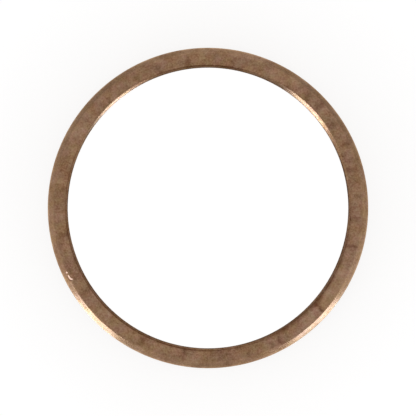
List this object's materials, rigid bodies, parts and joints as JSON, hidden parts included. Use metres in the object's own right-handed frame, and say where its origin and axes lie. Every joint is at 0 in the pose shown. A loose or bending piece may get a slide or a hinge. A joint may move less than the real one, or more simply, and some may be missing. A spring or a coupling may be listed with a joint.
{
  "type": "wrist pin bushing",
  "caption": "Plain round bronze sleeve with bevelled bore mouths and chamfered ends, pressed into a connecting rod's small end to carry the wrist pin.",
  "frame": {"origin": "centre of the bore on the lower end face", "axes": "+Z along the bore, from the lower end to the upper end; the sleeve is round, and +X is toward the right of the picture"},
  "size_m": [0.0508, 0.0508, 0.0381],
  "materials": {
    "bronze": "satin"
  },
  "bodies": {
    "root": {"bushing": "bronze"}
  },
  "joints": []
}
